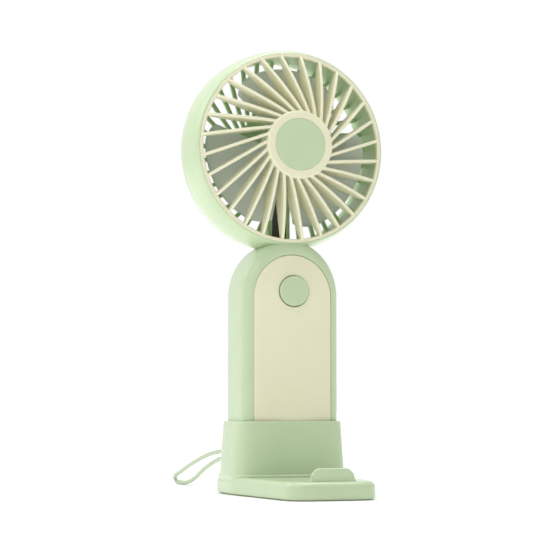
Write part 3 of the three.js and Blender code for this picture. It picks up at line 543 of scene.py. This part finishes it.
def front_grille():
    ring_profile = fillet([(RING_IN, SKIRT_Y), (44.0, SKIRT_Y), (RING_R, -13.3), (RING_R, RING_Y), (RING_IN, RING_Y)],
                          [0.2, 0.15, 0, 0.4, 0.4], 6)
    s = turned("front_grille_guard", ring_profile, n=288, closed=True)
    hub = turned("hub", [(0, -24.0), (14.2, -24.0), (14.2, -22.4)]
                 + [tuple(p) for p in fillet([(14.2, -22.4), (HUB_R, -22.4), (HUB_R, HUB_Y), (BADGE_R + 0.07, HUB_Y), (BADGE_R + 0.07, HUB_Y + 1.5), (0, HUB_Y + 1.5)],
                                             [0, 0.4, 1.1, 0.12, 0, 0], 8, closed=False)[1:]], n=160)
    boolean(s, hub)
    vanes = join("vanes", [vane(360 * i / VANES) for i in range(VANES)])
    boolean(s, vanes)
    finish_piece(s, "fan_body", CREAM, ["front_grille"], angle=32)


def grille_badge():
    prof = [(0, HUB_Y + 0.02), (6, HUB_Y + 0.05)]
    prof += [tuple(p) for p in fillet([(6, HUB_Y + 0.05), (BADGE_R, HUB_Y + 0.12), (BADGE_R, HUB_Y + 1.2), (0, HUB_Y + 1.2)], [0, 0.1, 0, 0], 6, closed=False)[1:]]
    s = turned("hub_badge", prof, n=160)
    finish_piece(s, "fan_body", SAGE, ["grille_badge"])


front_grille()
grille_badge()


# ------------------------------------------------------------------ rear grille with the duct
def rear_y(r):
    return 3.8 + 5.6 * (1 - min(1.0, max(0.0, (r - 15) / 27)) ** 1.8)


def rear_bar(turn):
    c, q = math.cos(math.radians(turn)), math.sin(math.radians(turn))
    rings = []
    for r in (18.6, 22, 26, 30, 34, 38, 41, 43.6):
        along = math.sqrt(r * r - BAR_OFFSET ** 2)
        x, z = along * c - BAR_OFFSET * q, along * q + BAR_OFFSET * c
        h, y = BAR_T / 2, rear_y(r)
        p = fillet([(-h, y), (h, y), (h, y + 2.4), (-h, y + 2.4)], 0.5, 4)
        rings.append([(x - a * q, b, HEAD_Z + z + a * c) for a, b in p])
    return loft("bar", rings)


def rear_grille():
    duct = fillet([(DUCT_R, -12.5), (44.1, -12.5), (44.1, 9.8), (DUCT_R, 9.8)], [0.25, 0.25, 0.25, 0.25], 4)
    s = turned("rear_grille_guard", duct, n=288, closed=True)
    cup = turned("motor_cup", fillet([(10.9, 2.0), (12.3, 2.0), (12.3, 8.6), (19.6, 8.6), (19.6, 10.9), (11.4, 13.2), (10.9, 13.2)],
                                     [0.3, 0.4, 0.4, 0.5, 1.0, 0.6, 0], 6), n=160, closed=True)
    boolean(s, cup)
    disc = turned("disc", [(0, 11.7), (11.2, 11.7), (11.2, 13.1), (10.8, 13.3), (6, 13.45), (0, 13.5)], n=160)
    boolean(s, disc)
    bars = join("bars", [rear_bar(360 * i / BARS + 0.4) for i in range(BARS)])
    boolean(s, bars)
    strut = block("strut", -5.3, 5.3, 3.4, 9.2, HEAD_Z - 43.4, HEAD_Z - 11.6, r=0.0)
    boolean(strut, turned("can_room", [(0, 0), (10.95, 0), (10.95, 11.7), (0, 11.7)], n=96), "DIFFERENCE")
    boolean(s, strut)
    boolean(s, block("lead_way", -3.4, 3.4, 2.4, 7.6, HEAD_Z - 46, HEAD_Z - 12.9), "DIFFERENCE")
    boolean(s, block("lead_slot", -2.4, 2.4, 5.2, 10.9, HEAD_Z - 15.6, HEAD_Z - 9), "DIFFERENCE")
    # the rear grille takes the darker copy of the housing green, painted shade
    finish_piece(s, "fan_body", GREEN_SHADED, ["rear_grille"], angle=32)


rear_grille()


# ------------------------------------------------------------------ impeller
def blade(turn):
    nu, nv = 44, 18
    r0 = ROTOR_HUB_R - 0.6
    us = [0.5 - 0.5 * math.cos(math.pi * i / nu) for i in range(nu + 1)]
    us = [0.35 * a + 0.65 * i / nu for i, a in enumerate(us)]
    vs = [math.sin(math.pi / 2 * j / nv) for j in range(nv + 1)]

    def point(u, v, side):
        r = r0 + (TIP_R - r0) * v
        corner = 1 - 0.10 * max(0.0, (abs(2 * u - 1) - 0.6) / 0.4) ** 2 * v * v
        x, z = polar(r * corner, BLADE_FROM + turn + BLADE_SPAN * u)
        y = BLADE_Y[0] + (BLADE_Y[1] - BLADE_Y[0]) * (u + 0.08 * math.sin(2 * math.pi * u)) * (0.86 + 0.14 * v)
        edge = math.sqrt(max(0.0, 1 - abs(2 * u - 1) ** 16)) * math.sqrt(max(0.0, 1 - v ** 30))
        return (x, y + side * (0.85 - 0.25 * v) * edge, HEAD_Z + z)

    verts, faces = [], []
    w = nv + 1
    for side in (-1, 1):
        for u in us:
            for v in vs:
                verts.append(point(u, v, side))
    k = (nu + 1) * w
    for i in range(nu):
        for j in range(nv):
            a, b, c, d = i * w + j, (i + 1) * w + j, (i + 1) * w + j + 1, i * w + j + 1
            faces.append((a, b, c, d))
            faces.append((k + a, k + d, k + c, k + b))
    for i in range(nu):
        a, b = i * w, (i + 1) * w
        faces.append((b, a, k + a, k + b))
    return mesh_object("blade", verts, faces, weld=0.0005)


def impeller():
    hub = [(1.3, -11.0), (1.3, -3.0), (2.9, -3.0), (2.9, -10.4), (9.9, -10.4), (10.2, -0.6), (ROTOR_HUB_R, -0.6), (ROTOR_HUB_R - 0.3, -12.1), (3.2, -12.5), (1.3, -12.5)]
    s = turned("fan_rotor", fillet(hub, [0, 0.2, 0.2, 0.4, 0.8, 0.2, 0.25, 1.6, 0.4, 0.3], 6), n=128, closed=True)
    cut = turned("hub_room", [(0, -30), (10.7, -30), (10.7, 30), (0, 30)], n=96)
    for i in range(BLADES):
        b = blade(360 * i / BLADES)
        boolean(b, cut, "DIFFERENCE", keep=True)
        boolean(s, b)
    bpy.data.objects.remove(cut)
    finish_piece(s, "rotor", GREY, ["impeller"], angle=40)


impeller()


# ------------------------------------------------------------------ base
def platform_outline(inset, seg=14):
    v = [(-PLATFORM_W, PLATFORM_BACK, 9), (-PLATFORM_W, -8, 40), (-PLATFORM_FRONT_W, PLATFORM_FRONT, 9.5),
         (PLATFORM_FRONT_W, PLATFORM_FRONT, 9.5), (PLATFORM_W, -8, 40), (PLATFORM_W, PLATFORM_BACK, 9)]
    out = []
    for i, (x, y, r) in enumerate(v):
        p = np.array((x, y), float)
        q0, q1 = np.array(v[i - 1][:2], float) - p, np.array(v[(i + 1) % 6][:2], float) - p
        l0, l1 = np.linalg.norm(q0), np.linalg.norm(q1)
        q0, q1 = q0 / l0, q1 / l1
        half = math.acos(float(q0 @ q1)) / 2
        t = min(r / math.tan(half), 0.48 * l0, 0.48 * l1)
        rr = t * math.tan(half)
        c = (q0 + q1) / np.linalg.norm(q0 + q1) * rr / math.sin(half) + p
        a, b = q0 * t + p - c, q1 * t + p - c
        a0 = math.atan2(a[1], a[0])
        d = math.atan2(b[1], b[0]) - a0
        d = d - 2 * math.pi if d > math.pi else d + 2 * math.pi if d < -math.pi else d
        for k in range(seg + 1):
            w = a0 + d * k / seg
            out.append((c[0] + (rr - inset) * math.cos(w), c[1] + (rr - inset) * math.sin(w)))
    return out


def cup_section(a, front, back, z, n_front=4.6, n_back=5.5, n=192):
    ring = []
    for i in range(n):
        t = 2 * math.pi * i / n
        c, s = math.cos(t), math.sin(t)
        b, e = (front, 2 / n_front) if s < 0 else (back, 2 / n_back)
        ex = e
        ring.append((a * math.copysign(abs(c) ** ex, c), b * math.copysign(abs(s) ** e, s), z))
    return ring


def even_ring(ring, n=220):
    """The same closed loop with its points evenly spaced."""
    p = np.array(ring)
    p = np.vstack([p, p[:1]])
    d = np.concatenate([[0], np.cumsum(np.linalg.norm(np.diff(p, axis=0), axis=1))])
    t = np.linspace(0, d[-1], n, endpoint=False)
    return np.stack([np.interp(t, d, p[:, k]) for k in range(3)], 1)


def base_stand():
    rings = []
    for k in range(7):
        f = math.pi / 2 * k / 6
        rings.append((1.2 - 1.2 * math.sin(f), BASE_Z0 + 1.2 - 1.2 * math.cos(f)))
    rt = 2.9
    for k in range(11):
        f = math.pi / 2 * k / 10
        rings.append((rt - rt * math.cos(f), PLATFORM_TOP - rt + rt * math.sin(f)))
    s = loft("phone_stand_base", [[(x, y, z) for x, y in platform_outline(i)] for i, z in rings])
    cup_rings = [(27.6, 21.6, 18.3, 6.0), (27.6, 21.6, 18.3, 8.75), (27.5, 21.5, 18.2, 9.0), (27.25, 21.25, 18.05, 9.15), (27.02, 21.02, 18.0, 9.4)]
    for k in range(1, 9):
        t = k / 8
        cup_rings.append((27.02 + (25.45 - 27.02) * t, 21.02 + (19.65 - 21.02) * t, 18.0 + (16.55 - 18.0) * t, 9.4 + (CUP_TOP - 0.6 - 9.4) * t))
    for k in range(1, 7):
        f = math.pi / 2 * k / 6
        i = 0.6 * (1 - math.cos(f))
        cup_rings.append((25.45 - i, 19.65 - i, 16.55 - i, CUP_TOP - 0.6 + 0.6 * math.sin(f)))
    cup = loft("cup", [even_ring(cup_section(a, f, b, z)) for a, f, b, z in cup_rings])
    boolean(s, cup)
    # phone lip with rounded edges
    side = [(-LIP_W, 6.0), (LIP_W, 6.0), (LIP_W, 7.6), (LIP_W - 1.0, LIP_TOP - 2.4), (LIP_W - 3.4, LIP_TOP), (-LIP_W + 3.4, LIP_TOP), (-LIP_W + 1.0, LIP_TOP - 2.4), (-LIP_W, 7.6)]
    plan = fillet(side, [0, 0, 0.6, 2.6, 3.0, 3.0, 2.6, 0.6], 8)
    cx, cz = 0.0, 9.0
    rr = 0.7
    rings = []
    for k in range(6):
        f = math.pi / 2 * k / 5
        rings.append((rr * (1 - math.sin(f)), LIP_Y[0] + rr * (1 - math.cos(f))))
    for k in range(6):
        f = math.pi / 2 * (1 - k / 5)
        rings.append((rr * (1 - math.sin(f)), LIP_Y[1] - rr * (1 - math.cos(f))))
    lip_rings = []
    for i, y in rings:
        kx, kz = (LIP_W - i) / LIP_W, (LIP_TOP - i - cz) / (LIP_TOP - cz)
        lip_rings.append([(x * kx, y, cz + (z - cz) * kz if z > cz else z) for x, z in plan])
    boolean(s, loft("lip", lip_rings))
    # the pocket that the handle stands in, its rim eased
    pocket = [(HALF_W + GAP, 18.7, BACK_Y + GAP, CUP_FLOOR), (HALF_W + GAP, 18.7, BACK_Y + GAP, CUP_TOP - 0.4), (HALF_W + GAP + 0.12, 18.82, BACK_Y + GAP + 0.12, CUP_TOP - 0.1),
              (HALF_W + GAP + 0.4, 19.1, BACK_Y + GAP + 0.4, CUP_TOP + 0.05), (HALF_W + GAP + 0.4, 19.1, BACK_Y + GAP + 0.4, CUP_TOP + 4)]
    boolean(s, loft("pocket", [even_ring(cup_section(a, f, b, z, 5.1, 9)) for a, f, b, z in pocket]), "DIFFERENCE")
    boolean(s, loft("cover_recess", [[(x, y, z) for x, y in platform_outline(2.2)] for z in (-1, 2.7)]), "DIFFERENCE")
    # lanyard slot with rounded corners
    boolean(s, block("slot", -20.0, -14.0, 10.0, 24.0, 12.6, CUP_TOP + 12, r=2.4, seg=8), "DIFFERENCE")
    finish_piece(s, "base", GREEN_BASE, ["base_stand"], angle=30)


base_stand()

# ------------------------------------------------------------------ CAD nodes that stay
carried = {
    "base_cover": GREEN, "base_screw_1": STEEL, "base_screw_2": STEEL, "base_screw_3": STEEL, "base_screw_4": STEEL,
    "grip_pad_rear": RUBBER, "grip_pad_front": RUBBER, "lead_cover": DARK, "motor_can": STEEL, "motor_end_cap": DARK,
    "motor_magnet_ring": DARK, "circuit_board": BOARD, "board_screw_1": STEEL, "board_screw_2": STEEL, "tactile_switch": DARK,
    "charge_board": BOARD, "usb_port": STEEL, "battery_cell": CELL, "battery_foam_pad": FOAM, "battery_tab_top": STEEL,
    "battery_tab_bottom": STEEL, "motor_lead_red": RED, "motor_lead_black": BLACK, "battery_lead_red": RED,
    "battery_lead_black": BLACK, "charge_lead_red": RED, "lanyard_pin": STEEL, "switch_plunger": WHITE,
    "motor_shaft": STEEL, "motor_armature": COPPER,
}
bevels = {"base_cover": 0.25, "grip_pad_rear": 0.15, "grip_pad_front": 0.15, "lead_cover": 0.25, "base_screw_1": 0.12, "base_screw_2": 0.12,
          "base_screw_3": 0.12, "base_screw_4": 0.12, "usb_port": 0.12, "lanyard_pin": 0.1, "tactile_switch": 0.2}
for name, material in carried.items():
    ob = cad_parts[name]
    ob.data.materials.clear()
    ob.data.materials.append(material)
    for p in ob.data.polygons:
        p.use_smooth = True
    ob.data.set_sharp_from_angle(angle=math.radians(32))
    if name in bevels:
        b = ob.modifiers.new("edges", "BEVEL")
        b.width, b.segments, b.limit_method, b.angle_limit = bevels[name] * MM, 3, "ANGLE", math.radians(40)
        b.harden_normals = False
        w = ob.modifiers.new("weighted", "WEIGHTED_NORMAL")
        w.keep_sharp = True

# ------------------------------------------------------------------ floor, light
def floor():
    me = bpy.data.meshes.new("floor")
    s = 6.0
    me.from_pydata([(-s, -s, 0), (s, -s, 0), (s, s, 0), (-s, s, 0)], [], [(0, 1, 2, 3)])
    ob = bpy.data.objects.new("floor", me)
    bpy.context.scene.collection.objects.link(ob)
    m, nt, b = nodes_of("floor_paper")
    b.inputs["Base Color"].default_value = (0.93, 0.93, 0.925, 1)
    b.inputs["Roughness"].default_value = 0.9
    b.inputs["Specular IOR Level"].default_value = 0.1
    b.inputs["Emission Color"].default_value = (1, 1, 1, 1)
    # painted glow: the floor's emission rises with distance from the object, so the far floor glows white though it is
    # no lamp
    coords = nt.nodes.new("ShaderNodeTexCoord")
    reach = nt.nodes.new("ShaderNodeVectorMath")
    reach.operation = "LENGTH"
    floor_glow = nt.nodes.new("ShaderNodeMapRange")
    floor_glow.interpolation_type = "SMOOTHSTEP"
    floor_glow.inputs["From Min"].default_value = 0.15
    floor_glow.inputs["From Max"].default_value = 0.75
    floor_glow.inputs["To Min"].default_value = 0.06
    floor_glow.inputs["To Max"].default_value = 0.55
    nt.links.new(coords.outputs["Object"], reach.inputs[0])
    nt.links.new(reach.outputs["Value"], floor_glow.inputs["Value"])
    nt.links.new(floor_glow.outputs["Result"], b.inputs["Emission Strength"])
    me.materials.append(m)


floor()

world = bpy.data.worlds.new("studio")
bpy.context.scene.world = world
world.use_nodes = True
wt = world.node_tree
wt.nodes.clear()
w_out = wt.nodes.new("ShaderNodeOutputWorld")
w_mix = wt.nodes.new("ShaderNodeMixShader")
w_seen = wt.nodes.new("ShaderNodeBackground")
w_light = wt.nodes.new("ShaderNodeBackground")
w_path = wt.nodes.new("ShaderNodeLightPath")
w_seen.inputs["Color"].default_value = (1, 1, 1, 1)
w_seen.inputs["Strength"].default_value = 1.0
w_coord = wt.nodes.new("ShaderNodeTexCoord")
w_sep = wt.nodes.new("ShaderNodeSeparateXYZ")
w_range = wt.nodes.new("ShaderNodeMapRange")
wt.links.new(w_coord.outputs["Generated"], w_sep.inputs["Vector"])
wt.links.new(w_sep.outputs["Y"], w_range.inputs["Value"])
w_range.inputs["From Min"].default_value = -1.0
w_range.inputs["From Max"].default_value = 1.0
w_range.inputs["To Min"].default_value = 0.345
w_range.inputs["To Max"].default_value = 0.93
wt.links.new(w_range.outputs["Result"], w_light.inputs["Strength"])
w_light.inputs["Color"].default_value = (1, 1, 1, 1)
wt.links.new(w_path.outputs["Is Camera Ray"], w_mix.inputs["Fac"])
wt.links.new(w_light.outputs["Background"], w_mix.inputs[1])
wt.links.new(w_seen.outputs["Background"], w_mix.inputs[2])
wt.links.new(w_mix.outputs["Shader"], w_out.inputs["Surface"])


def area(name, place, target, size, power, color=(1, 1, 1)):
    li = bpy.data.lights.new(name, "AREA")
    li.shape, li.size, li.size_y, li.energy, li.color = "RECTANGLE", size[0], size[1], power, color
    ob = bpy.data.objects.new(name, li)
    bpy.context.scene.collection.objects.link(ob)
    ob.location = place
    ob.rotation_mode = "QUATERNION"
    ob.rotation_quaternion = (Vector(target) - Vector(place)).to_track_quat("-Z", "Y")
    return ob


area("key", (-0.75, -0.55, 0.75), (0, 0, 0.10), (0.6, 0.6), 1.7)
area("rim", (-0.70, 0.45, 0.75), (0, 0, 0.14), (0.5, 0.5), 1.3)
area("top", (0.05, 0.05, 1.1), (0, 0, 0.10), (0.8, 0.8), 7.2)

vs = bpy.context.scene.view_settings
vs.view_transform = "Standard"
vs.look = "None"
vs.exposure = 0.0
vs.gamma = 1.0
